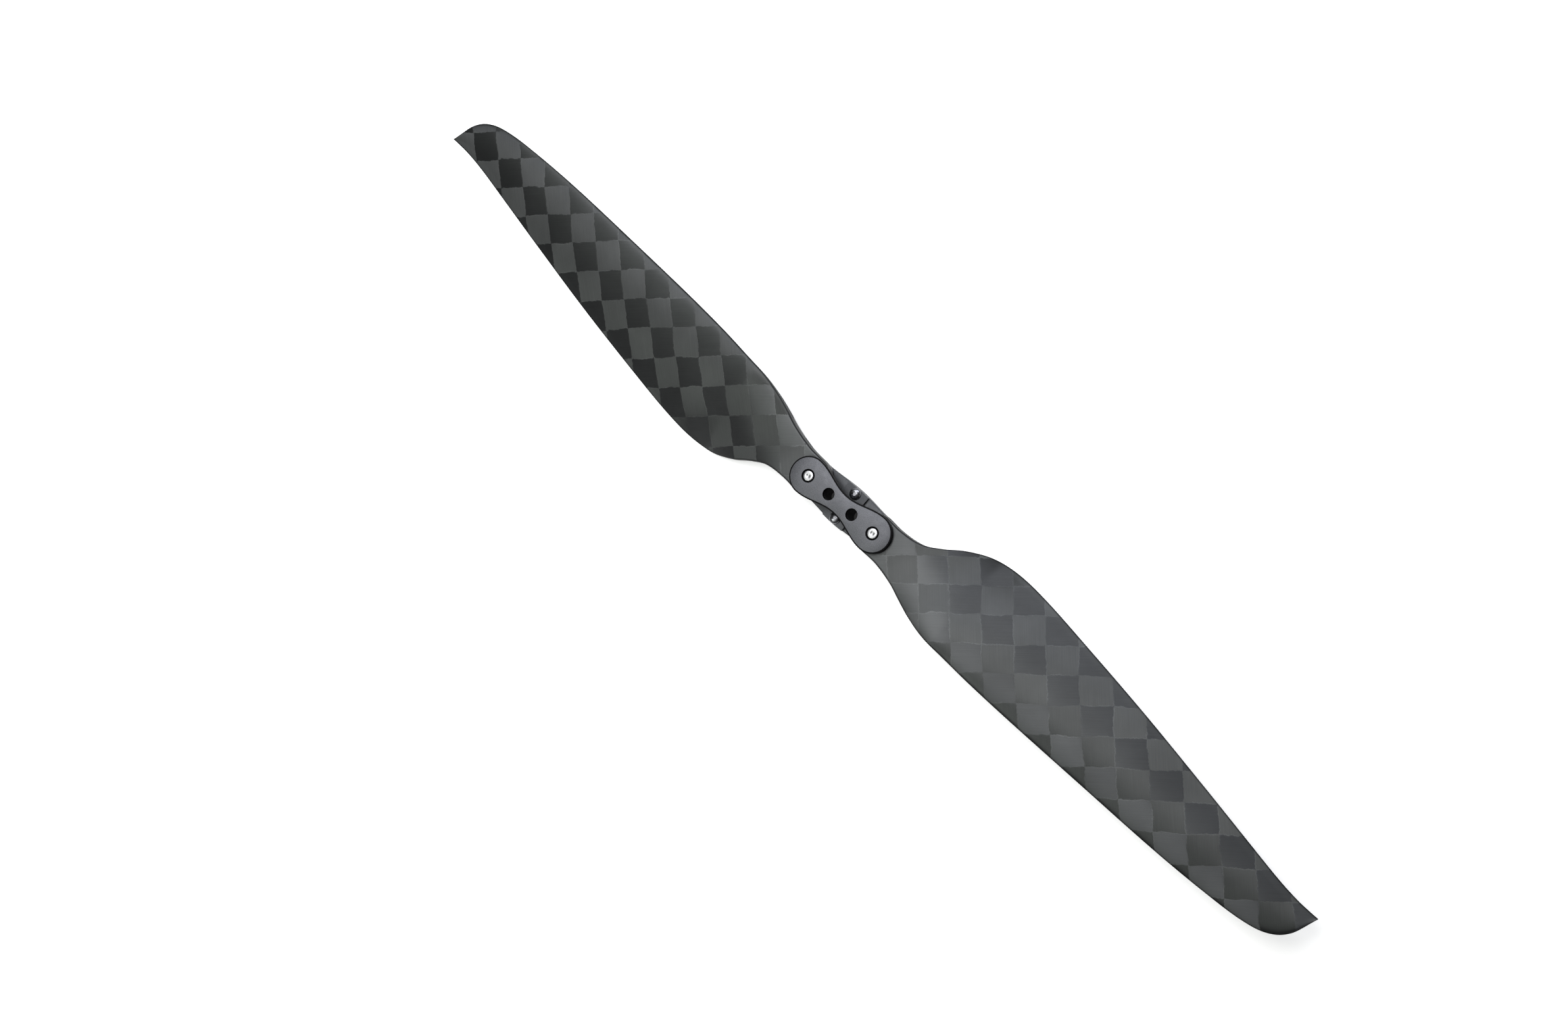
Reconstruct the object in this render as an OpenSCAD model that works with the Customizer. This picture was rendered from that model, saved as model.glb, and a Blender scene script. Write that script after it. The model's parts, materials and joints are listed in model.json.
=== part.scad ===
// Two-blade folding propeller with a flat plate hub.
// Frame: +Z is the thrust direction, +X runs along blade B, and the origin is
// the middle of the hub on the face that sits on the motor. Millimetres.

/* [Propeller] */
// Diameter of the disc that the blade tips sweep
prop_d = 448; // [420:2:500]
// Pitch at 60 percent of the radius
pitch = 132; // [110:2:150]
// Share of the pitch that is lost from the hub to the tip
pitch_fall = 0.18; // [0:0.02:0.3]
// Height that the blade tip gains over the blade root
tip_rise = 8; // [0:1:12]
// Angle that each blade rests ahead of the straight line
rest_swing = 1.4; // [0:0.1:1.5]

/* [Hub] */
// Distance between the two fold pivots
pivot_spacing = 33.6; // [33.4:0.2:36]
// Distance between the two motor bolts
bolt_spacing = 12; // [11.6:0.2:12]
// Diameter of the two motor bolt holes
bolt_hole_d = 4.5; // [3.4:0.1:4.5]
// Diameter of the centring bore for the motor's boss
pilot_d = 5; // [4:0.5:5]
// Thickness of the lower plate
base_t = 3; // [3:0.5:4]
// Thickness of the upper plate
cover_t = 1.6; // [1.6:0.2:2.4]
// Gap between the plates, which holds the blade roots
plate_gap = 7; // [7:0.25:8]
// Half width of the upper plate at its waist
cover_waist = 4.2; // [4:0.1:4.4]
// Half width of the lower plate at its middle
base_waist = 8.3; // [8.2:0.1:8.6]
// Radius of the upper plate's round ends
cover_end_r = 7.6; // [7.4:0.1:7.8]
// Radius of the lower plate's round ends
base_end_r = 7.3; // [7.2:0.1:7.6]

/* [Blade] */
// Radius of the round blade root
root_r = 7.9; // [7.6:0.1:8]
// Blade thickness near the hub, once the section is an aerofoil
inner_t = 4.8; // [4.4:0.1:5.2]
// Blade thickness at the tip
outer_t = 0.9; // [0.8:0.1:1.2]
// Camber as a share of the chord
camber = 0.04; // [0.02:0.01:0.06]
// Thickness of each carbon skin
skin_t = 0.4; // [0.3:0.05:0.5]
// Thickness of the blade's bare edges
edge_t = 0.4; // [0.3:0.05:0.5]

/* [Hidden] */

$fn = 64;
cut = 1;                                  // how far cutters reach past a face
tip_x = prop_d / 2;
pivot_x = pivot_spacing / 2;
bolt_x = bolt_spacing / 2;
side_screw_y = 6;
gap_bottom = base_t;
gap_top = base_t + plate_gap;
hub_top = gap_top + cover_t;

// Pivot hardware
thread_d = 4;
sleeve_d = 6;
sleeve_bore_d = 4.2;
bush_d = 10;
running_gap = 0.03;                       // radial, between sleeve and bush
washer_d = 12;
washer_bore_d = 6.2;
washer_t = 0.35;
end_play = 0.05;                          // between a washer and the blade root
thread_mouth_d = 5.3;
bolt_end_d = 3.6;
bolt_end_recess = 0.1;                    // the bolt's end lies this far below the upper face
head_r = 4;                               // countersunk head at the lower face
head_recess = 0.1;
socket_d = 2.9;
socket_depth = 1.4;

// Screws that hold the spacer to the lower plate
side_thread_d = 2.5;
side_hole_d = 2.7;
side_tip_z = 0.3;                         // the screw's tip lies inside the lower plate
button_d = 4.6;
button_h = 1.4;
button_rim_h = 0.3;
button_socket_d = 1.7;
button_socket_depth = 0.7;
button_gap = 0.2;                         // between a screw head and the spacer's block
ear_t = 1.5;
ear_half_len = 5;
block_end_w = 5.6;                        // half width of the spacer's block towards its ends

// Blade root and blade
root_bottom = gap_bottom + washer_t + end_play;
root_top = gap_top - washer_t - end_play;
root_t = root_top - root_bottom;
root_mid = (root_top + root_bottom) / 2;
twist_start = 20;
twist_length = 45;
pitch_hold_r = 60;                        // inside this radius the twist stays level
shape_start = 26;
shape_length = 44;
block_end = 40;
spacer_clearance = 0.25;
tip_len = 16;                             // stretch with closer stations at the tip
tip_steps = 9;
square_corner = 0.02;                     // keeps the root section's edge from closing
least_fill = 0.3;                         // least share of the thickness that is filling
same_point = 0.001;

// Blade outline: radius, leading edge and trailing edge, as shares of the tip radius
outline = [[pivot_x / tip_x, root_r / tip_x, root_r / tip_x],
           [0.11, 0.037, 0.033], [0.15, 0.046, 0.038], [0.18, 0.057, 0.054],
           [0.21, 0.067, 0.075], [0.25, 0.076, 0.093], [0.30, 0.080, 0.100],
           [0.36, 0.084, 0.097], [0.45, 0.087, 0.085], [0.60, 0.089, 0.062],
           [0.75, 0.090, 0.035], [0.85, 0.087, 0.016], [0.92, 0.081, 0.003],
           [0.96, 0.069, -0.002], [0.985, 0.045, -0.003], [1, 0.004, -0.003]];
LEADING = 1;
TRAILING = 2;

// Lofting grid: distances along the blade and shares of the chord
root_arc = [for (a = [12:13:77]) pivot_x - root_r * cos(a)];
neck = [for (x = [pivot_x:2.9:block_end - 2]) x];
shoulder = [for (x = [block_end:4:64]) x];
span = [for (x = [70:9:200]) x];
tip = [for (k = [tip_steps:-1:0]) tip_x - tip_len * pow(k / tip_steps, 1.5)];
root_stations = concat(root_arc, neck, [block_end]);
blade_stations = concat(shoulder, span, tip);
all_stations = concat(root_arc, neck, blade_stations);
chord_steps = 12;
chord_shares = [for (k = [0:chord_steps]) (1 - cos(180 * k / chord_steps)) / 2];

function without_ends(list) = [for (k = [1:len(list) - 2]) list[k]];
function tail(list, from) = [for (k = [from:len(list) - 1]) list[k]];
function head(list, count) = [for (k = [0:count - 1]) list[k]];
function smooth(x) = let (c = min(max(x, 0), 1)) c * c * (3 - 2 * c);

// ---- Blade outline: a smooth curve through the outline's points ----
function outline_row(share, k = 0) =
    k >= len(outline) - 2 || share < outline[k + 1][0] ? k : outline_row(share, k + 1);
function outline_slope(k, column) =
    let (before = outline[max(k - 1, 0)], after = outline[min(k + 1, len(outline) - 1)])
    (after[column] - before[column]) / (after[0] - before[0]);
function outline_at(share, column) =
    let (k = outline_row(share), p = outline[k], q = outline[k + 1],
         width = q[0] - p[0], u = (share - p[0]) / width)
    (1 + 2 * u) * pow(1 - u, 2) * p[column]
    + u * pow(1 - u, 2) * width * outline_slope(k, column)
    + u * u * (3 - 2 * u) * q[column]
    - u * u * (1 - u) * width * outline_slope(k + 1, column);
function edge_y(x, column) =
    x < pivot_x ? sqrt(root_r * root_r - pow(x - pivot_x, 2))
                : tip_x * outline_at(x / tip_x, column);

// ---- Blade section: a rounded bar at the root that turns into an aerofoil ----
function chord(x) = edge_y(x, LEADING) + edge_y(x, TRAILING);
function blade_y(x, c) = c * chord(x) - edge_y(x, LEADING);
function twist_slope(x) =
    pitch * (1 - pitch_fall * (x / tip_x - 0.6)) / (2 * PI * max(x, pitch_hold_r))
    * smooth((x - twist_start) / twist_length);
function blend(x) = smooth((x - shape_start) / shape_length);
function bar(c) = pow(max(1 - pow(abs(2 * c - 1), 6), square_corner), 1 / 6);
function aerofoil(c) =
    10 * (0.2969 * sqrt(c) - 0.126 * c - 0.3516 * pow(c, 2) + 0.2843 * pow(c, 3)
          - 0.1036 * pow(c, 4));
function rise(x) = tip_rise * pow(max(x - pivot_x, 0) / (tip_x - pivot_x), 2);
function middle_z(x, c) =
    root_mid + rise(x) - blade_y(x, c) * twist_slope(x)
    + blend(x) * camber * 4 * c * (1 - c) * chord(x);
function half_t(x, c) =
    let (t = inner_t + (outer_t - inner_t) * x / tip_x)
    max(edge_t / 2, ((1 - blend(x)) * root_t * bar(c) + blend(x) * t * aerofoil(c)) / 2);

// Half thickness of the filling between the skins. It closes to nothing around its rim.
function fill_t(x, c) =
    min(c, 1 - c) < 1.5 * chord_shares[1]
    || x <= all_stations[1] || x >= all_stations[len(all_stations) - 2]
    ? 0 : max(half_t(x, c) - skin_t, least_fill * half_t(x, c));

// A solid between two heights over the grid of stations and chord shares.
// Where the heights meet at the rim, the two faces share their points.
module loft(stations, shares, top_sign, bottom_sign, top_fill, bottom_fill) {
    nx = len(stations);
    nc = len(shares);
    function point(x, c, sign, fill) =
        [x, blade_y(x, c), middle_z(x, c) + sign * (fill ? fill_t(x, c) : half_t(x, c))];
    upper = [for (x = stations, c = shares) point(x, c, top_sign, top_fill)];
    lower = [for (x = stations, c = shares) point(x, c, bottom_sign, bottom_fill)];
    function hi(p) = p[0] * nc + p[1];
    function shared(p) = abs(upper[hi(p)][2] - lower[hi(p)][2]) < same_point;
    function lo(p) = shared(p) ? hi(p) : nx * nc + hi(p);
    function wall(p, q) = [[hi(p), hi(q), lo(q)], [hi(p), lo(q), lo(p)]];
    cells = [for (i = [0:nx - 2], j = [0:nc - 2])
             each [[[i, j], [i, j + 1], [i + 1, j + 1]], [[i, j], [i + 1, j + 1], [i + 1, j]]]];
    open_cells = [for (c = cells) if (!(shared(c[0]) && shared(c[1]) && shared(c[2]))) c];
    sides = concat([for (i = [0:nx - 2]) each wall([i, 0], [i + 1, 0])],
                   [for (i = [0:nx - 2]) each wall([i + 1, nc - 1], [i, nc - 1])],
                   [for (j = [0:nc - 2]) each wall([0, j + 1], [0, j])],
                   [for (j = [0:nc - 2]) each wall([nx - 1, j], [nx - 1, j + 1])]);
    faces = concat([for (c = open_cells) [hi(c[0]), hi(c[1]), hi(c[2])]],
                   [for (c = open_cells) [lo(c[2]), lo(c[1]), lo(c[0])]],
                   [for (f = sides) if (f[0] != f[1] && f[1] != f[2] && f[2] != f[0]) f]);
    polyhedron(concat(upper, lower), faces);
}

// Places a blade's piece: blade B points along +X, and blade A along -X
module on_blade(name) {
    rotate([0, 0, name == "a" ? 180 : 0])
        translate([pivot_x, 0, 0])
            rotate([0, 0, name == "a" ? -rest_swing : rest_swing])
                translate([-pivot_x, 0, 0])
                    children();
}

// Places a piece of pivot hardware that is centred on the origin
module at_pivot(name) {
    translate([name == "a" ? -pivot_x : pivot_x, 0, 0]) children();
}

module bush_hole() {
    translate([pivot_x, 0, 0]) cylinder(d = bush_d, h = hub_top);
}

module upper_skin() {
    color("dimgray") difference() {
        loft(all_stations, chord_shares, 1, 1, false, true);
        bush_hole();
    }
}

module lower_skin() {
    color("dimgray") difference() {
        loft(all_stations, chord_shares, -1, -1, true, false);
        bush_hole();
    }
}

module foam_core() {
    color("wheat")
        loft(head(blade_stations, len(blade_stations) - 1), without_ends(chord_shares),
             1, -1, true, true);
}

module root_block() {
    color("black") difference() {
        loft(tail(root_stations, 1), without_ends(chord_shares), 1, -1, true, true);
        bush_hole();
    }
}

module root_bush() {
    color("peru") translate([pivot_x, 0, root_bottom]) difference() {
        cylinder(d = bush_d, h = root_t);
        translate([0, 0, -cut]) cylinder(d = sleeve_d + 2 * running_gap, h = root_t + 2 * cut);
    }
}

// ---- Hub plates: round ends at the pivots and a waist between them ----
function plate_half_width(x, waist, end_r) =
    waist + (end_r - waist) * (1 - cos(180 * x / pivot_x)) / 2;

module plate_outline(waist, end_r) {
    steps = 24;
    flank = [for (k = [1 - steps:steps - 1])
             [pivot_x * k / steps, plate_half_width(abs(pivot_x * k / steps), waist, end_r)]];
    round_end = [for (a = [90:-5:-90]) [pivot_x + end_r * cos(a), end_r * sin(a)]];
    half = concat(flank, round_end);
    polygon(concat(half, [for (p = half) [-p[0], -p[1]]]));
}

module motor_bolt_holes() {
    for (x = [-bolt_x, bolt_x])
        translate([x, 0, -cut]) cylinder(d = bolt_hole_d, h = hub_top + 2 * cut);
}

module base_plate() {
    color("darkslategray") difference() {
        linear_extrude(base_t) plate_outline(base_waist, base_end_r);
        motor_bolt_holes();
        translate([0, 0, -cut]) cylinder(d = pilot_d, h = base_t + 2 * cut);
        for (y = [-side_screw_y, side_screw_y])
            translate([0, y, -cut]) cylinder(d = side_thread_d, h = base_t + 2 * cut);
        for (x = [-pivot_x, pivot_x]) translate([x, 0, 0]) {
            translate([0, 0, -cut]) cylinder(d = thread_d, h = base_t + 2 * cut);
            rotate_extrude()
                polygon([[0, -cut], [head_r + cut, -cut], [thread_d / 2, head_r - thread_d / 2],
                         [0, head_r - thread_d / 2]]);
        }
    }
}

module top_plate() {
    mouth = (thread_mouth_d - thread_d) / 2;
    color("slategray") difference() {
        translate([0, 0, gap_top]) linear_extrude(cover_t) plate_outline(cover_waist, cover_end_r);
        motor_bolt_holes();
        for (x = [-pivot_x, pivot_x]) translate([x, 0, 0]) {
            translate([0, 0, gap_top - cut]) cylinder(d = thread_d, h = cover_t + 2 * cut);
            rotate_extrude()
                polygon([[0, hub_top - mouth], [thread_d / 2, hub_top - mouth],
                         [thread_mouth_d / 2 + cut, hub_top + cut], [0, hub_top + cut]]);
        }
    }
}

// An hourglass block between the plates, with a low ear each side for its screws
module centre_spacer() {
    half_len = pivot_x - root_r - spacer_clearance;
    waist = side_screw_y - button_d / 2 - button_gap;
    color("gray") difference() {
        union() {
            translate([0, 0, gap_bottom]) linear_extrude(plate_gap) intersection() {
                plate_outline(waist, block_end_w);
                square([2 * half_len, 4 * block_end_w], center = true);
            }
            translate([0, 0, gap_bottom]) linear_extrude(ear_t) intersection() {
                plate_outline(base_waist, base_end_r);
                square([2 * ear_half_len, 4 * base_waist], center = true);
            }
        }
        motor_bolt_holes();
        for (y = [-side_screw_y, side_screw_y])
            translate([0, y, 0]) cylinder(d = side_hole_d, h = gap_bottom + ear_t + cut);
    }
}

// Button head screw through an ear into the lower plate. side is 1 or -1.
module spacer_screw(side) {
    seat = gap_bottom + ear_t;
    shoulder_z = seat + button_rim_h;
    head_top = seat + button_h;
    dome = [for (a = [0:15:75])
            [button_d / 2 * cos(a), shoulder_z + (head_top - shoulder_z) * sin(a)]];
    color("silver") translate([0, side * side_screw_y, 0]) difference() {
        union() {
            translate([0, 0, side_tip_z]) cylinder(d = side_thread_d, h = shoulder_z - side_tip_z);
            rotate_extrude()
                polygon(concat([[0, seat], [button_d / 2, seat]], dome, [[0, head_top]]));
        }
        translate([0, 0, head_top - button_socket_depth])
            cylinder(d = button_socket_d, h = button_h, $fn = 6);
    }
}

// Countersunk bolt up through the sleeve into the upper plate's thread
module pivot_bolt() {
    neck_z = head_r - thread_d / 2;
    end_z = hub_top - bolt_end_recess;
    bevel = (thread_d - bolt_end_d) / 2;
    color("silver") difference() {
        rotate_extrude()
            polygon([[0, head_recess], [head_r - head_recess, head_recess],
                     [thread_d / 2, neck_z], [thread_d / 2, end_z - bevel],
                     [bolt_end_d / 2, end_z], [0, end_z]]);
        cylinder(d = socket_d, h = head_recess + socket_depth, $fn = 6);
    }
}

module pivot_sleeve() {
    color("lightsteelblue") translate([0, 0, gap_bottom]) difference() {
        cylinder(d = sleeve_d, h = plate_gap);
        translate([0, 0, -cut]) cylinder(d = sleeve_bore_d, h = plate_gap + 2 * cut);
    }
}

// Thrust washer whose lower face is at height z
module washer(z) {
    color("ivory") translate([0, 0, z]) difference() {
        cylinder(d = washer_d, h = washer_t);
        translate([0, 0, -cut]) cylinder(d = washer_bore_d, h = washer_t + 2 * cut);
    }
}

base_plate();
top_plate();
centre_spacer();
spacer_screw(1);  // spacer_screw_left
spacer_screw(-1);  // spacer_screw_right
at_pivot("a") pivot_bolt();  // pivot_bolt_a
at_pivot("b") pivot_bolt();  // pivot_bolt_b
at_pivot("a") pivot_sleeve();  // pivot_sleeve_a
at_pivot("b") pivot_sleeve();  // pivot_sleeve_b
at_pivot("a") washer(gap_bottom);  // lower_washer_a
at_pivot("b") washer(gap_bottom);  // lower_washer_b
at_pivot("a") washer(gap_top - washer_t);  // upper_washer_a
at_pivot("b") washer(gap_top - washer_t);  // upper_washer_b
on_blade("a") upper_skin();  // upper_skin_a
on_blade("a") lower_skin();  // lower_skin_a
on_blade("a") foam_core();  // foam_core_a
on_blade("a") root_block();  // root_block_a
on_blade("a") root_bush();  // root_bush_a
on_blade("b") upper_skin();  // upper_skin_b
on_blade("b") lower_skin();  // lower_skin_b
on_blade("b") foam_core();  // foam_core_b
on_blade("b") root_block();  // root_block_b
on_blade("b") root_bush();  // root_bush_b
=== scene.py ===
import json
import math

import bmesh
import bpy
import numpy as np
from mathutils import Matrix, Vector

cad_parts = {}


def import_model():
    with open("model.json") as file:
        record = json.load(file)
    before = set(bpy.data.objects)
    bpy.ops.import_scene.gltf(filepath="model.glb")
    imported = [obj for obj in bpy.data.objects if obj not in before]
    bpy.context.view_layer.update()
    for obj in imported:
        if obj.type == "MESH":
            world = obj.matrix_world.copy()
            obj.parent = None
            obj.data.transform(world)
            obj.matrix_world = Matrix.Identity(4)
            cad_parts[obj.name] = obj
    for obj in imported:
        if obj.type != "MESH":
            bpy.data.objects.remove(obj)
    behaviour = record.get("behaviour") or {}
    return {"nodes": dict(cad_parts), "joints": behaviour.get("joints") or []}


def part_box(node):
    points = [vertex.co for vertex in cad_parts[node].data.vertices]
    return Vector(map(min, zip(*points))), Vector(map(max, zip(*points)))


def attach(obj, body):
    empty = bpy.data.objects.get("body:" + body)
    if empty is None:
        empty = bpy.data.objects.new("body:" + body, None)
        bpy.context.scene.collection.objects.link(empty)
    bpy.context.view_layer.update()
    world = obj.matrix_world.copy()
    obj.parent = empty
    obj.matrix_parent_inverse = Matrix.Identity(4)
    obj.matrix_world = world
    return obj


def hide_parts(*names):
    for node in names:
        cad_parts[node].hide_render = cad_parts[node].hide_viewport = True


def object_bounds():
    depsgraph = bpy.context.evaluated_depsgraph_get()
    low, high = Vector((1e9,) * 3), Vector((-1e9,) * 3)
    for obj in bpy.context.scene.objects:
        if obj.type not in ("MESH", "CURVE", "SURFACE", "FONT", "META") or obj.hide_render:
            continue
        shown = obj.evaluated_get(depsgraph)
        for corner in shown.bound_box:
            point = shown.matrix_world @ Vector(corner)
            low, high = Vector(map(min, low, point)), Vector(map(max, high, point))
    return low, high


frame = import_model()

cad_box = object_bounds()

MM = 0.001
SIDES = ("a", "b")


# ---- Sizes, from the frame where it has them -------------------------------

pivot_x = max(joint["pos_m"][0] for joint in frame["joints"]) / MM
tip_x = 224.0                       # radius of the blade tip
root_r = 7.9
root_bottom, root_top = (corner.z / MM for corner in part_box("root_bush_b"))
root_mid = (root_bottom + root_top) / 2
root_t = root_top - root_bottom
plate_low, plate_high = (corner.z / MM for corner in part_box("top_plate"))
base_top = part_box("base_plate")[1].z / MM


def smooth(x):
    """Goes from 0 to 1 as x does, and is level at both ends."""
    c = np.clip(x, 0, 1)
    return c * c * (3 - 2 * c)


# ---- Blade surface: the same rules as the CAD blade, on a finer grid --------

PITCH = 132.0
PITCH_FALL = 0.18
PITCH_HOLD_R = 60.0
TIP_RISE = 8.0
REST_SWING = math.radians(1.4)
TWIST_START, TWIST_LENGTH = 20.0, 45.0
SHAPE_START, SHAPE_LENGTH = 26.0, 44.0
INNER_T, OUTER_T = 4.8, 0.9
CAMBER = 0.04
SKIN_T = 0.4
RIM_WALL = 0.8                      # width of the rim where the two skins meet
ROOT_EDGE_R, BLADE_EDGE_R = 0.8, 0.2
SEAM = 0.015                        # half the gap at the mould's parting line
BUSH_HOLE_R = 5.0
CHORD_POINTS, ROOT_POINTS, SPAN_POINTS, TIP_POINTS = 57, 24, 170, 30
TIP_LENGTH = 16.0                   # stretch at the tip with closer stations
WELD, SLIVER = 0.002, 0.001         # points and faces smaller than this are merged away

# Radius, leading edge and trailing edge, as shares of the tip radius
OUTLINE = np.array([
    [pivot_x / tip_x, root_r / tip_x, root_r / tip_x],
    [0.11, 0.037, 0.033], [0.15, 0.046, 0.038], [0.18, 0.057, 0.054],
    [0.21, 0.067, 0.075], [0.25, 0.076, 0.093], [0.30, 0.080, 0.100],
    [0.36, 0.084, 0.097], [0.45, 0.087, 0.085], [0.60, 0.089, 0.062],
    [0.75, 0.090, 0.035], [0.85, 0.087, 0.016], [0.92, 0.081, 0.003],
    [0.96, 0.069, -0.002], [0.985, 0.045, -0.003], [1.0, 0.004, -0.003]])
LEADING, TRAILING = 1, 2


def edge_y(x, column):
    """Distance of an edge from the blade's axis, in millimetres."""
    last = len(OUTLINE) - 1
    share = x / tip_x
    slopes = np.array([
        (OUTLINE[min(k + 1, last), column] - OUTLINE[max(k - 1, 0), column])
        / (OUTLINE[min(k + 1, last), 0] - OUTLINE[max(k - 1, 0), 0])
        for k in range(last + 1)])
    k = np.clip(np.searchsorted(OUTLINE[:, 0], share, side="right") - 1, 0, last - 1)
    before, after = OUTLINE[k], OUTLINE[k + 1]
    width = after[:, 0] - before[:, 0]
    u = (share - before[:, 0]) / width
    y = ((1 + 2 * u) * (1 - u) ** 2 * before[:, column]
         + u * (1 - u) ** 2 * width * slopes[k]
         + u * u * (3 - 2 * u) * after[:, column]
         - u * u * (1 - u) * width * slopes[k + 1])
    round_root = np.sqrt(np.maximum(root_r ** 2 - (x - pivot_x) ** 2, 0))
    return np.where(x < pivot_x, round_root, y * tip_x)


def twist_slope(x):
    """How steeply the chord slopes at each radius, from the pitch."""
    lead = PITCH * (1 - PITCH_FALL * (x / tip_x - 0.6))
    return (lead / (2 * math.pi * np.maximum(x, PITCH_HOLD_R))
            * smooth((x - TWIST_START) / TWIST_LENGTH))


def blade_grid(stations, shares):
    """Arrays over the grid: x, y, middle height, half thickness, distance from the rim."""
    x, c = np.meshgrid(stations, shares, indexing="ij")
    leading = edge_y(stations, LEADING)[:, None]
    chord = leading + edge_y(stations, TRAILING)[:, None]
    y = c * chord - leading
    blend = smooth((x - SHAPE_START) / SHAPE_LENGTH)
    rise = TIP_RISE * (np.maximum(x - pivot_x, 0) / (tip_x - pivot_x)) ** 2
    middle = (root_mid + rise - y * twist_slope(x)
              + blend * CAMBER * 4 * c * (1 - c) * chord)
    # The four-digit aerofoil's thickness rule, closed at the trailing edge
    foil = 10 * (0.2969 * np.sqrt(c) - 0.126 * c - 0.3516 * c ** 2
                 + 0.2843 * c ** 3 - 0.1036 * c ** 4)
    thickness = INNER_T + (OUTER_T - INNER_T) * x / tip_x
    rim = np.minimum(c, 1 - c) * chord
    past_tip = np.maximum(tip_x - x, 0)
    rim = np.minimum(rim, past_tip)
    radial = root_r - np.hypot(x - pivot_x, y)
    rim = np.where(x < pivot_x, np.minimum(rim, np.maximum(radial, 0)), rim)
    edge_r = ROOT_EDGE_R + (BLADE_EDGE_R - ROOT_EDGE_R) * blend
    full = ((1 - blend) * root_t + blend * thickness * foil) / 2
    roundness = np.sqrt(1 - (1 - np.minimum(rim / edge_r, 1)) ** 2)
    half = np.maximum(full - edge_r, 0) + edge_r * roundness
    return x, y, middle, half, rim


def blade_stations():
    """Distances from the spin axis, closer together where the outline turns."""
    root_arc = pivot_x - root_r * np.cos(np.radians(np.linspace(2, 88, ROOT_POINTS)))
    span = np.linspace(pivot_x, tip_x - TIP_LENGTH, SPAN_POINTS)
    tip = tip_x - TIP_LENGTH * (1 - np.linspace(0, 1, TIP_POINTS)[1:]) ** 1.7
    return np.concatenate([root_arc, span, tip])


def place_on_blade(points, side):
    """Turns points from blade B's straight frame to the blade's place at rest."""
    swing = REST_SWING if side == "b" else -REST_SWING
    turned = points.copy()
    x, y = points[:, 0] - pivot_x, points[:, 1]
    turned[:, 0] = pivot_x + x * math.cos(swing) - y * math.sin(swing)
    turned[:, 1] = x * math.sin(swing) + y * math.cos(swing)
    if side == "a":
        turned[:, :2] *= -1
    return turned


# ---- Cloth: where each blade's tows lie -------------------------------------

# Directions in degrees and widths in millimetres of the two sets of tows, and
# the blade point where a dark square begins
CLOTH = {
    "a": {"angles": (40.5, -43.2), "widths": (10.1, 11.5), "start": (138.0, -1.9)},
    "b": {"angles": (38.6, -46.0), "widths": (11.4, 10.7), "start": (85.2, 17.3)},
}


def cloth_coordinates(x, y, side):
    """Cloth coordinates of blade points. Whole numbers are the borders of the tows."""
    cloth = CLOTH[side]
    steps = np.array([[width * math.cos(math.radians(angle)),
                       width * math.sin(math.radians(angle))]
                      for angle, width in zip(cloth["angles"], cloth["widths"])])
    offset = np.stack([x - cloth["start"][0], y - cloth["start"][1]], axis=-1)
    return offset @ np.linalg.inv(steps)


# ---- Mesh helpers ------------------------------------------------------------

def new_object(name, mesh):
    piece = bpy.data.objects.new(name, mesh)
    bpy.context.scene.collection.objects.link(piece)
    return piece


def shade(mesh, sharp_degrees=38):
    """Smooth shading with sharp edges where two faces meet at a real corner."""
    bm = bmesh.new()
    bm.from_mesh(mesh)
    for face in bm.faces:
        face.smooth = True
    for edge in bm.edges:
        edge.smooth = edge.calc_face_angle(0) < math.radians(sharp_degrees)
    bm.to_mesh(mesh)
    bm.free()


def cut_with(piece, cutter):
    """Cuts another object out of the piece, and removes that object."""
    modifier = piece.modifiers.new("cut", "BOOLEAN")
    modifier.operation = "DIFFERENCE"
    modifier.solver = "EXACT"
    modifier.object = cutter
    bpy.context.view_layer.update()
    evaluated = piece.evaluated_get(bpy.context.evaluated_depsgraph_get())
    mesh = bpy.data.meshes.new_from_object(evaluated)
    piece.modifiers.clear()
    piece.data = mesh
    bpy.data.objects.remove(cutter)


def prism(name, points, low, high):
    """A closed solid from a counter-clockwise outline. Sizes in millimetres."""
    mesh = bpy.data.meshes.new(name)
    bm = bmesh.new()
    rings = [[bm.verts.new((x * MM, y * MM, z * MM)) for x, y in points]
             for z in (low, high)]
    count = len(points)
    for k in range(count):
        after = (k + 1) % count
        bm.faces.new([rings[0][k], rings[0][after], rings[1][after], rings[1][k]])
    bm.faces.new(rings[1])
    bm.faces.new(rings[0][::-1])
    bm.to_mesh(mesh)
    bm.free()
    return new_object(name, mesh)


def circle(r, count=64, x=0.0, y=0.0):
    return [(x + r * math.cos(2 * math.pi * k / count),
             y + r * math.sin(2 * math.pi * k / count)) for k in range(count)]


def lathe(name, profile, x=0.0, y=0.0, count=64):
    """Turns a profile of (radius, height) points about the vertical line at x, y."""
    mesh = bpy.data.meshes.new(name)
    bm = bmesh.new()
    rings = []
    for r, z in profile:
        if r < 1e-6:
            rings.append([bm.verts.new((x * MM, y * MM, z * MM))] * count)
        else:
            rings.append([bm.verts.new((px * MM, py * MM, z * MM))
                          for px, py in circle(r, count, x, y)])
    for low, high in zip(rings, rings[1:]):
        for k in range(count):
            after = (k + 1) % count
            corners = [low[k], low[after], high[after], high[k]]
            unique = [v for i, v in enumerate(corners) if v not in corners[:i]]
            if len(unique) > 2:
                bm.faces.new(unique)
    bmesh.ops.recalc_face_normals(bm, faces=bm.faces)
    bm.to_mesh(mesh)
    bm.free()
    return new_object(name, mesh)


# ---- Blade shells --------------------------------------------------------------

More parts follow.
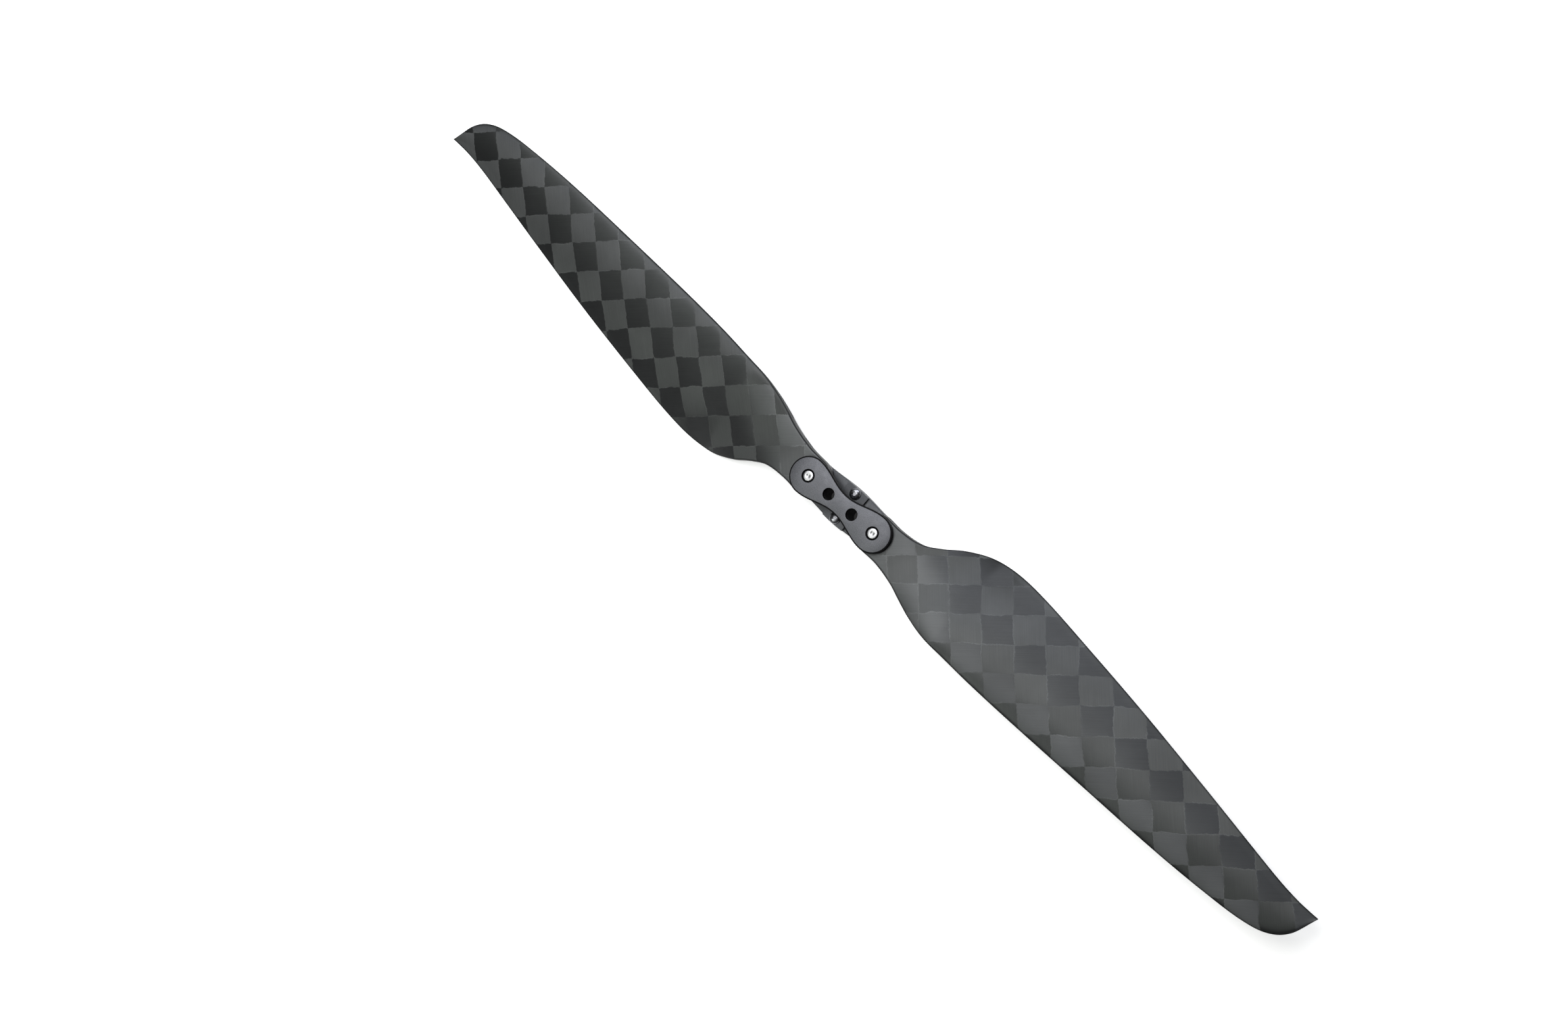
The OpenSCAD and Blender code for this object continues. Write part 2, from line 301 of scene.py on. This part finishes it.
def write_cloth(mesh, cloth, **distances):
    """Stores the cloth coordinates as a UV map, and distances in millimetres by name."""
    layer = mesh.uv_layers.new(name="cloth")
    corners = np.zeros(len(mesh.loops), np.int32)
    mesh.loops.foreach_get("vertex_index", corners)
    layer.data.foreach_set("uv", cloth[corners].astype(np.float32).ravel())
    for name, values in distances.items():
        attribute = mesh.attributes.new(name, "FLOAT", "POINT")
        attribute.data.foreach_set("value", values.astype(np.float32))


def blade_shell(side, sign):
    """One moulded skin of a blade, closed, with its inner face and the bush hole.

    The cloth goes on over the rim: a point of the inner face lies as far out on
    the cloth as the rim's wall is high.
    """
    name = ("upper" if sign > 0 else "lower") + "_shell_" + side
    stations = blade_stations()
    shares = (1 - np.cos(np.linspace(0, math.pi, CHORD_POINTS))) / 2
    x, y, middle, half, rim = blade_grid(stations, shares)
    fill = np.where(rim < RIM_WALL, 0, np.maximum(half - SKIN_T, 0))
    outer = np.stack([x, y, middle + sign * (SEAM + half)], axis=-1).reshape(-1, 3)
    inner = np.stack([x, y, middle + sign * (SEAM + fill)], axis=-1).reshape(-1, 3)
    points = place_on_blade(np.concatenate([outer, inner]), side)
    rows, columns = x.shape
    index = np.arange(rows * columns).reshape(rows, columns)
    quads = np.stack([index[:-1, :-1], index[1:, :-1], index[1:, 1:], index[:-1, 1:]],
                     axis=-1).reshape(-1, 4)
    border = np.concatenate([index[:, 0], index[-1, 1:], index[-2::-1, -1],
                             index[0, -2:0:-1]])
    after = np.roll(border, -1)
    offset = rows * columns
    walls = np.stack([border, border + offset, after + offset, after], axis=-1)
    faces = np.concatenate([quads, quads[:, ::-1] + offset, walls])
    if sign < 0:
        faces = faces[:, ::-1]
    mesh = bpy.data.meshes.new(name)
    mesh.from_pydata((points * MM).tolist(), [], faces.tolist())
    outward = np.stack([np.minimum(x - pivot_x, 0), y])
    wrap = outward / np.maximum(np.hypot(*outward), 0.01) * (half - fill)
    cloth = [cloth_coordinates(across.ravel(), along.ravel(), side)
             for across, along in ((x, y), (x + wrap[0], y + wrap[1]))]
    write_cloth(mesh, np.concatenate(cloth),
                rim=np.concatenate([rim.ravel()] * 2),
                reach=np.concatenate([x.ravel()] * 2))
    bm = bmesh.new()
    bm.from_mesh(mesh)
    bmesh.ops.remove_doubles(bm, verts=bm.verts, dist=WELD * MM)
    bmesh.ops.dissolve_degenerate(bm, edges=bm.edges, dist=SLIVER * MM)
    bmesh.ops.recalc_face_normals(bm, faces=bm.faces)
    bm.to_mesh(mesh)
    bm.free()
    piece = new_object(name, mesh)
    pivot = pivot_x if side == "b" else -pivot_x
    cut_with(piece, prism("cutter", circle(BUSH_HOLE_R, 64, pivot, 0), 0, 2 * root_mid))
    shade(piece.data)
    return piece


# ---- Hub plates ---------------------------------------------------------------

BASE_WAIST, BASE_END_R = 8.3, 7.3
COVER_WAIST, COVER_END_R = 4.2, 7.6
BOLT_X, BOLT_HOLE_R = 6.0, 2.25
CENTRING_BORE_R = 2.5
SIDE_SCREW_Y, SIDE_SCREW_R = 6.0, 1.25
PIVOT_BOLT_R = 2.0
COUNTERSINK_R = 4.0


def plate_outline(waist, end_r, flank_steps=60, arc_step=3):
    """Round ends about the pivots, joined by a smooth waist. Counter-clockwise."""
    flank = []
    for k in range(1 - flank_steps, flank_steps):
        x = pivot_x * k / flank_steps
        bulge = (1 - math.cos(math.pi * x / pivot_x)) / 2
        flank.append((x, waist + (end_r - waist) * bulge))
    arc = [(pivot_x + end_r * math.cos(math.radians(a)),
            end_r * math.sin(math.radians(a))) for a in range(90, -91, -arc_step)]
    half = flank + arc
    return (half + [(-x, -y) for x, y in half])[::-1]


def inset(points, distance):
    """Moves a counter-clockwise outline inwards along its own normals."""
    p = np.array(points)
    along = np.roll(p, -1, axis=0) - np.roll(p, 1, axis=0)
    along /= np.linalg.norm(along, axis=1)[:, None]
    inwards = np.stack([-along[:, 1], along[:, 0]], axis=-1)
    return p + inwards * distance


def plate(name, outline, levels, holes):
    """A plate with a stepped rim and round holes.

    levels holds (height, inset) from the lower face to the upper one, and each
    hole is (x, y, profile) with a profile of (height, radius) in the same order.
    The upper face takes material slot 0, and every other face slot 1.
    """
    mesh = bpy.data.meshes.new(name)
    bm = bmesh.new()

    def ring(points, z):
        return [bm.verts.new((px * MM, py * MM, z * MM)) for px, py in points]

    stacks = [[ring(inset(outline, d), z) for z, d in levels]]
    for x, y, profile in holes:
        stacks.append([ring(circle(r, 64, x, y)[::-1], z) for z, r in profile])
    for rings in stacks:
        for low, high in zip(rings, rings[1:]):
            for k in range(len(low)):
                after = (k + 1) % len(low)
                bm.faces.new([low[k], low[after], high[after], high[k]])
    for end in (0, -1):
        edges = [bm.edges.get((rings[end][k - 1], rings[end][k]))
                 for rings in stacks for k in range(len(rings[end]))]
        made = bmesh.ops.triangle_fill(bm, edges=edges, use_beauty=True)["geom"]
    upper_face = {part for part in made if isinstance(part, bmesh.types.BMFace)}
    for face in bm.faces:
        face.material_index = 0 if face in upper_face else 1
    bmesh.ops.recalc_face_normals(bm, faces=bm.faces)
    bm.to_mesh(mesh)
    bm.free()
    piece = new_object(name, mesh)
    shade(piece.data)
    return piece


def rounded_rim(top, r, steps=4):
    """Levels of a rim that rounds over from the wall to a face at height top."""
    angles = [math.radians(90 * k / steps) for k in range(steps + 1)]
    return [(top - r + r * math.sin(a), r * (1 - math.cos(a))) for a in angles]


def straight_hole(x, y, r, low, high, mouth=0.15):
    return (x, y, [(low, r + mouth), (low + mouth, r), (high - mouth, r), (high, r + mouth)])


def top_plate():
    """The grey plate, with a bevel all round and a flared hole for each pivot bolt."""
    bevel_w, bevel_h = 0.55, 0.25
    low_edge, flare = 0.15, 0.65
    levels = [(plate_low, low_edge), (plate_low + low_edge, 0.0),
              (plate_high - bevel_h, 0.0), (plate_high, bevel_w)]
    holes = [straight_hole(x, 0, BOLT_HOLE_R, plate_low, plate_high) for x in (-BOLT_X, BOLT_X)]
    for x in (-pivot_x, pivot_x):
        holes.append((x, 0, [(plate_low, PIVOT_BOLT_R), (plate_high - flare, PIVOT_BOLT_R),
                             (plate_high, PIVOT_BOLT_R + flare)]))
    outline = plate_outline(COVER_WAIST, COVER_END_R)
    return plate("hub_top_plate", outline, levels, holes)


def base_plate():
    """The dark plate, with the centring bore and a countersink for each pivot bolt."""
    low_edge, rim_r = 0.2, 0.5
    levels = [(0.0, low_edge), (low_edge, 0.0)] + rounded_rim(base_top, rim_r)
    holes = [straight_hole(x, 0, BOLT_HOLE_R, 0, base_top) for x in (-BOLT_X, BOLT_X)]
    holes.append(straight_hole(0, 0, CENTRING_BORE_R, 0, base_top))
    holes += [straight_hole(0, y, SIDE_SCREW_R, 0, base_top, 0.1)
              for y in (-SIDE_SCREW_Y, SIDE_SCREW_Y)]
    for x in (-pivot_x, pivot_x):
        holes.append((x, 0, [(0, COUNTERSINK_R), (COUNTERSINK_R - PIVOT_BOLT_R, PIVOT_BOLT_R),
                             (base_top, PIVOT_BOLT_R)]))
    outline = plate_outline(BASE_WAIST, BASE_END_R)
    return plate("hub_base_plate", outline, levels, holes)


# ---- Materials -------------------------------------------------------------------

class Nodes:
    """Short names for making shader nodes in one material."""

    def __init__(self, name):
        self.material = bpy.data.materials.new(name)
        self.material.use_nodes = True
        self.tree = self.material.node_tree
        self.shader = self.tree.nodes["Principled BSDF"]

    def add(self, kind, inputs=None, **settings):
        node = self.tree.nodes.new("ShaderNode" + kind)
        for key, value in settings.items():
            setattr(node, key, value)
        for key, value in (inputs or {}).items():
            self.put(value, node.inputs[key])
        return node

    def put(self, value, socket):
        if isinstance(value, bpy.types.NodeSocket):
            self.tree.links.new(value, socket)
        else:
            socket.default_value = value

    def math(self, operation, *values):
        node = self.add("Math", operation=operation)
        for socket, value in zip(node.inputs, values):
            self.put(value, socket)
        return node.outputs[0]

    def mix(self, factor, a, b):
        node = self.add("Mix", data_type="RGBA")
        self.put(factor, node.inputs["Factor"])
        self.put(a, node.inputs["A"])
        self.put(b, node.inputs["B"])
        return node.outputs["Result"]

    def ramp(self, value, low, high, out_low=0.0, out_high=1.0):
        node = self.add("MapRange", interpolation_type="SMOOTHSTEP")
        for socket, number in zip(node.inputs, (value, low, high, out_low, out_high)):
            self.put(number, socket)
        return node.outputs[0]

    def noise(self, vector, scale, detail=2.0, roughness=0.5, stretch=None):
        if stretch:
            vector = self.add("Mapping", {"Vector": vector, "Scale": stretch}).outputs[0]
        return self.add("TexNoise", {"Vector": vector, "Scale": scale, "Detail": detail,
                                     "Roughness": roughness}).outputs[0]

    def bump(self, height, strength, distance, normal=None):
        inputs = {"Height": height, "Strength": strength, "Distance": distance}
        if normal is not None:
            inputs["Normal"] = normal
        return self.add("Bump", inputs).outputs[0]

    def set(self, **values):
        names = {"color": "Base Color", "metallic": "Metallic", "roughness": "Roughness",
                 "normal": "Normal", "tangent": "Tangent", "anisotropic": "Anisotropic",
                 "rotation": "Anisotropic Rotation", "coat": "Coat Weight",
                 "coat_roughness": "Coat Roughness", "specular": "Specular IOR Level",
                 "glow": "Emission Color", "glow_strength": "Emission Strength"}
        for key, value in values.items():
            self.put(value, self.shader.inputs[names[key]])
        return self.material


# Colours of the tows that run one way and the other
DARK_TOW, DARK_TOW_AT_ROOT = (0.0620, 0.0645, 0.0655, 1), (0.0850, 0.0880, 0.0895, 1)
LIGHT_TOW = (0.0695, 0.0724, 0.0724, 1)


def carbon_cloth():
    """Spread tow carbon: squares whose fibres run one way or the other, under a satin coat."""
    n = Nodes("spread_tow_carbon")
    uv = n.add("UVMap", uv_map="cloth").outputs[0]

    # Borders that wander a little, in long waves and in frayed ends
    moved = uv
    for scale, swing in ((1.3, 0.16), (9.0, 0.08), (32.0, 0.06)):
        drift = n.add("TexNoise", {"Vector": uv, "Scale": scale, "Detail": 1.0}).outputs["Color"]
        drift = n.add("VectorMath", {0: drift, 1: (0.5, 0.5, 0.5)},
                      operation="SUBTRACT").outputs[0]
        moved = n.add("VectorMath", {0: drift, 1: (swing, swing, 0), 2: moved},
                      operation="MULTIPLY_ADD").outputs[0]
    cell = n.add("VectorMath", {0: moved}, operation="FLOOR").outputs[0]
    split = n.add("SeparateXYZ", {0: cell})
    odd = n.math("FLOORED_MODULO", n.math("ADD", split.outputs[0], split.outputs[1]), 2.0)
    tint = n.add("TexWhiteNoise", {"Vector": cell}, noise_dimensions="2D").outputs[0]
    place = n.add("SeparateXYZ", {0: moved})
    border = n.math("MINIMUM", n.math("PINGPONG", place.outputs[0], 0.5),
                    n.math("PINGPONG", place.outputs[1], 0.5))

    # Fibres along the tow of each square, and slow changes of tone
    along_u = n.noise(uv, 1.0, 3.0, 0.6, stretch=(0.5, 60, 1))
    along_v = n.noise(uv, 1.0, 3.0, 0.6, stretch=(60, 0.5, 1))
    fibres = n.add("Mix", {"Factor": odd, "A": along_u, "B": along_v}).outputs[0]
    clouds = n.noise(uv, 0.7, 3.0)
    level = n.math("MULTIPLY", n.ramp(fibres, 0.3, 0.7, 0.94, 1.06), n.ramp(tint, 0, 1, 0.92, 1.08))
    level = n.math("MULTIPLY", level, n.ramp(clouds, 0.3, 0.7, 0.93, 1.07))

    # Painted highlight along the tow borders, where the step between tows catches the light, then
    # painted shade along the rim and painted shade towards the tip
    # Painted highlight: colour up to a third lighter right at the tow borders, in patches
    painted_border_highlight = n.math("MULTIPLY", n.ramp(border, 0.0, 0.03, 0.35, 0.0), n.ramp(clouds, 0.42, 0.55))
    level = n.math("MULTIPLY_ADD", level, painted_border_highlight, level)
    rim = n.add("Attribute", attribute_name="rim").outputs["Fac"]
    reach = n.add("Attribute", attribute_name="reach").outputs["Fac"]
    # Painted shade along the rim: colour falls to a fifth where the edge rounds away
    level = n.math("MULTIPLY", level, n.ramp(rim, 0.1, 0.7, 0.2, 1.0))
    # Painted shade: colour up to an eighth darker towards the tip
    level = n.math("MULTIPLY", level, n.ramp(reach, 110, 215, 1.0, 0.87))

    dark = n.mix(n.ramp(reach, 20, 95, 1, 0), DARK_TOW, DARK_TOW_AT_ROOT)
    color = n.mix(odd, dark, LIGHT_TOW)
    color = n.add("VectorMath", {0: color, "Scale": level}, operation="SCALE").outputs[0]

    # The sheen lies across the fibres, so it turns by a quarter from square to square
    tangent = n.add("Tangent", direction_type="UV_MAP", uv_map="cloth").outputs[0]
    turn = n.math("MULTIPLY_ADD", odd, -0.25, 0.25)

    # A step at each border, with a few pits beside it
    pits = n.math("MULTIPLY", n.ramp(n.noise(uv, 11, 2.0), 0.64, 0.72),
                  n.ramp(border, 0.05, 0.12, 1, 0))
    step = n.math("SUBTRACT", n.ramp(border, 0.0, 0.05), pits)
    bump = n.bump(fibres, 0.10, 0.00003)
    bump = n.bump(step, 0.25, 0.00003, bump)
    return n.set(color=color, metallic=0.9, roughness=0.52, anisotropic=0.85, rotation=turn,
                 tangent=tangent, normal=bump, coat=0.12, coat_roughness=0.35)


def object_space(n):
    return n.add("TexCoord").outputs["Object"]


def blasted_metal(name, color, speckle, roughness, metallic=0.6, specular=0.5):
    """Bead blasted and anodised metal: a fine even grain with a little mottling."""
    n = Nodes(name)
    where = object_space(n)
    grain = n.noise(where, 3200, 2.0, 0.6)
    mottle = n.noise(where, 500, 3.0, 0.6)
    level = n.math("MULTIPLY", n.ramp(grain, 0.3, 0.7, 1 - speckle, 1 + speckle),
                   n.ramp(mottle, 0.3, 0.7, 0.93, 1.07))
    shade_of = n.add("VectorMath", {0: color, "Scale": level}, operation="SCALE").outputs[0]
    rough = n.ramp(mottle, 0.3, 0.7, roughness - 0.05, roughness + 0.05)
    return n.set(color=shade_of, metallic=metallic, roughness=rough, specular=specular,
                 normal=n.bump(grain, 0.25, 0.00004))


def machined_steel(name, color, roughness):
    """Turned steel, with fine streaks and faint stains."""
    n = Nodes(name)
    where = object_space(n)
    streaks = n.noise(where, 900, 3.0, 0.6, stretch=(1, 1, 4))
    stains = n.noise(where, 260, 2.0)
    rough = n.ramp(streaks, 0.3, 0.7, roughness - 0.07, roughness + 0.1)
    level = n.ramp(stains, 0.35, 0.7, 0.85, 1.05)
    shade_of = n.add("VectorMath", {0: color, "Scale": level}, operation="SCALE").outputs[0]
    return n.set(color=shade_of, metallic=1.0, roughness=rough,
                 normal=n.bump(streaks, 0.12, 0.00003))


def plain_stuff(name, color, roughness, grain_scale, metallic=0.0):
    """A material of one colour with a fine grain."""
    n = Nodes(name)
    where = object_space(n)
    grain = n.noise(where, grain_scale, 3.0, 0.6)
    level = n.ramp(grain, 0.3, 0.7, 0.85, 1.1)
    shade_of = n.add("VectorMath", {0: color, "Scale": level}, operation="SCALE").outputs[0]
    return n.set(color=shade_of, metallic=metallic, roughness=roughness,
                 normal=n.bump(grain, 0.3, 0.00005))


def give(piece, *materials):
    """Puts the materials into the piece's slots, from the first slot on."""
    slots = piece.data.materials
    for k, material in enumerate(materials):
        if k < len(slots):
            slots[k] = material
        else:
            slots.append(material)


def take_place(piece, body, slot, *nodes):
    """The piece rides on a body and stands for CAD nodes."""
    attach(piece, body)
    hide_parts(*nodes)


# ---- Screws and bolts --------------------------------------------------------------

def pivot_bolt(side):
    """A countersunk bolt from below, whose dimpled end shows in the top plate."""
    x = pivot_x if side == "b" else -pivot_x
    low, high = (corner.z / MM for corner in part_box("pivot_bolt_" + side))
    head_r, head_edge, socket_r, socket_h = COUNTERSINK_R - 0.1, 0.1, 1.45, 1.4
    head = [(0, low), (head_r - head_edge, low), (head_r, low + head_edge),
            (PIVOT_BOLT_R, COUNTERSINK_R - PIVOT_BOLT_R)]
    end = [(PIVOT_BOLT_R, high - 0.25), (1.9, high - 0.08), (1.72, high)]
    dimple = [(1.0, high), (0.75, high - 0.06), (0.35, high - 0.22), (0, high - 0.26)]
    piece = lathe("pivot_bolt_end_" + side, head + end + dimple, x)
    cut_with(piece, prism("cutter", circle(socket_r, 6, x, 0), low - 1, low + socket_h))
    shade(piece.data, 30)
    return piece


def side_screw(y, name):
    """A button-head screw that stands on the spacer's ear."""
    ear_h, shank_low, shank_edge, head_edge = 1.5, 0.3, 0.15, 0.1
    head_r, head_h, rim_h, socket_r = 2.3, 1.4, 0.3, 0.85
    seat = base_top + ear_h
    shank = [(0, shank_low), (SIDE_SCREW_R - shank_edge, shank_low),
             (SIDE_SCREW_R, shank_low + shank_edge), (SIDE_SCREW_R, seat)]
    rim = [(head_r - head_edge, seat), (head_r, seat + head_edge)]
    dome = [(head_r * math.cos(a), seat + rim_h + (head_h - rim_h) * math.sin(a))
            for a in np.radians(np.arange(0, 80, 8))]
    piece = lathe(name, shank + rim + dome + [(0, seat + head_h)], 0, y)
    socket = prism("cutter", circle(socket_r, 6, 0, y), seat + head_h / 2, seat + head_h + 1)
    cut_with(piece, socket)
    shade(piece.data, 30)
    return piece


# ---- Build -----------------------------------------------------------------------------

nodes = frame["nodes"]
carbon = carbon_cloth()
grey_face = blasted_metal("blasted_grey", (0.092, 0.0935, 0.103), 0.22, 0.50)
# Near black on every face but the upper one: partly black anodising on the bevel, partly painted
# shade on the walls and hole walls
black_edge_and_shade = blasted_metal("black_edge_and_shade", (0.003, 0.003, 0.0033), 0.2, 0.6, 0.0, 0.08)
dark_metal = blasted_metal("dark_anodised", (0.044, 0.046, 0.050), 0.1, 0.42)
bright_steel = machined_steel("bright_steel", (0.42, 0.42, 0.43), 0.36)
dark_steel = machined_steel("screw_steel", (0.20, 0.202, 0.215), 0.24)
ground_steel = machined_steel("ground_steel", (0.5, 0.5, 0.52), 0.25)
washer_plastic = plain_stuff("washer_plastic", (0.6, 0.58, 0.53), 0.45, 3000)
root_filler = plain_stuff("root_filler", (0.02, 0.02, 0.02), 0.5, 1500)
foam = plain_stuff("closed_cell_foam", (0.7, 0.62, 0.42), 0.9, 2500)
bronze = plain_stuff("sintered_bronze", (0.55, 0.36, 0.2), 0.4, 4000, 1.0)

for side in SIDES:
    body = "blade_" + side
    for sign, skin in ((1, "upper_skin_"), (-1, "lower_skin_")):
        shell = blade_shell(side, sign)
        give(shell, carbon)
        take_place(shell, body, "carbon_skin", skin + side)
    bolt = pivot_bolt(side)
    give(bolt, bright_steel)
    take_place(bolt, "hub", "steel_screws", "pivot_bolt_" + side)
    give(nodes["pivot_sleeve_" + side], ground_steel)
    give(nodes["lower_washer_" + side], washer_plastic)
    give(nodes["upper_washer_" + side], washer_plastic)
    give(nodes["foam_core_" + side], foam)
    give(nodes["root_block_" + side], root_filler)
    give(nodes["root_bush_" + side], bronze)

cover = top_plate()
# The second material is near black: black anodising on the bevel and painted shade on the walls
give(cover, grey_face, black_edge_and_shade)
take_place(cover, "hub", "grey_plate", "top_plate")
base = base_plate()
give(base, dark_metal, dark_metal)
take_place(base, "hub", "dark_plate", "base_plate")
give(nodes["centre_spacer"], dark_metal)
for y, label in ((SIDE_SCREW_Y, "left"), (-SIDE_SCREW_Y, "right")):
    screw = side_screw(y, "side_screw_" + label)
    give(screw, dark_steel)
    take_place(screw, "hub", "steel_screws", "spacer_screw_" + label)


# ---- Floor, lights and camera ------------------------------------------------------------

FLOOR_GAP, FLOOR_HALF = 0.0005, 6.0         # metres
FLOOR_WHITE, PAINTED_SHADOW_DARK, FLOOR_GLOW = 0.85, 0.04, 0.6
# The painted shadow patch under the hub fades out between these shares of the lower plate's half
# sizes
SHADOW_PATCH_INNER, SHADOW_PATCH_OUTER = 0.833, 1.0


def floor():
    """A white floor that glows a little, apart from a patch of painted shadow, dark and without
    glow, that the hub hides.
    """
    depth, half = FLOOR_GAP - cad_box[0].z, FLOOR_HALF
    mesh = bpy.data.meshes.new("floor")
    mesh.from_pydata([(-half, -half, -depth), (half, -half, -depth),
                      (half, half, -depth), (-half, half, -depth)], [], [(0, 1, 2, 3)])
    piece = new_object("floor", mesh)
    n = Nodes("white_floor")
    hub_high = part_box("base_plate")[1]
    share = n.add("VectorMath", {0: object_space(n), 1: (1 / hub_high.x, 1 / hub_high.y, 0)},
                  operation="MULTIPLY").outputs[0]
    reach = n.add("VectorMath", {0: share}, operation="LENGTH").outputs["Value"]
    # Painted shadow: dark colour and no glow under the hub, so the through holes read dark
    shade_of = n.mix(n.ramp(reach, SHADOW_PATCH_INNER, SHADOW_PATCH_OUTER), (PAINTED_SHADOW_DARK,) * 3 + (1,),
                     (FLOOR_WHITE,) * 3 + (1,))
    give(piece, n.set(color=shade_of, roughness=0.9, specular=0.1, glow=shade_of,
                      glow_strength=FLOOR_GLOW))


# Name, tilt from straight overhead towards +X and towards +Y in degrees, power, colour.
# Together they make a broad soft light, longer along Y than along X.
LIGHTS = [
    ("light_overhead", -10, 8, 2.65, (1.0, 1.0, 1.0)),
    ("light_near", -10, -30, 1.55, (0.97, 1.01, 0.95)),
    ("light_far", -10, 45, 1.65, (0.97, 0.99, 1.08)),
    ("light_side", -28, 25, 1.20, (0.98, 1.0, 1.02)),
]
LIGHT_DISTANCE, LIGHT_SIZE = 0.75, 0.36


def softbox(name, tilt_x, tilt_y, power, color):
    """A round area light that faces the object."""
    data = bpy.data.lights.new(name, "AREA")
    data.shape = "DISK"
    data.size = LIGHT_SIZE
    data.energy = power
    data.color = color
    light = bpy.data.objects.new(name, data)
    towards = Vector((math.tan(math.radians(tilt_x)), math.tan(math.radians(tilt_y)), 1))
    light.location = towards.normalized() * LIGHT_DISTANCE
    light.rotation_euler = towards.to_track_quat("Z", "Y").to_euler()
    bpy.context.scene.collection.objects.link(light)


def world(above, around):
    """A white world, dim overhead and brighter near the horizon, where it is the backdrop."""
    made = bpy.data.worlds.new("studio")
    made.use_nodes = True
    tree = made.node_tree
    direction = tree.nodes.new("ShaderNodeTexCoord").outputs["Generated"]
    split = tree.nodes.new("ShaderNodeSeparateXYZ")
    fade = tree.nodes.new("ShaderNodeMapRange")
    fade.interpolation_type = "SMOOTHSTEP"
    for name, value in (("From Min", 0.0), ("From Max", 0.5), ("To Min", around),
                        ("To Max", above)):
        fade.inputs[name].default_value = value
    background = tree.nodes["Background"]
    background.inputs["Color"].default_value = (1, 1, 1, 1)
    tree.links.new(direction, split.inputs[0])
    tree.links.new(split.outputs["Z"], fade.inputs["Value"])
    tree.links.new(fade.outputs["Result"], background.inputs["Strength"])
    bpy.context.scene.world = made


def camera(place, target, picture_up, lens):
    """picture_up is the heading, in degrees from +X, that points up in the picture."""
    data = bpy.data.cameras.new("camera")
    data.sensor_width = 36
    data.lens = lens
    seen = bpy.data.objects.new("camera", data)
    back = (Vector(place) - Vector(target)).normalized()
    heading = Vector((math.cos(math.radians(picture_up)), math.sin(math.radians(picture_up)), 0))
    right = heading.cross(back).normalized()
    up = back.cross(right)
    turned = Matrix((right, up, back)).transposed()
    seen.matrix_world = Matrix.Translation(place) @ turned.to_4x4()
    bpy.context.scene.collection.objects.link(seen)
    bpy.context.scene.camera = seen


floor()
world(above=0.075, around=0.6)
for light in LIGHTS:
    softbox(*light)
camera(place=(0.1970, 0.0874, 0.6960), target=(-0.0162, -0.0148, 0.012),
       picture_up=131.9, lens=43.91)
bpy.context.scene.view_settings.view_transform = "Standard"
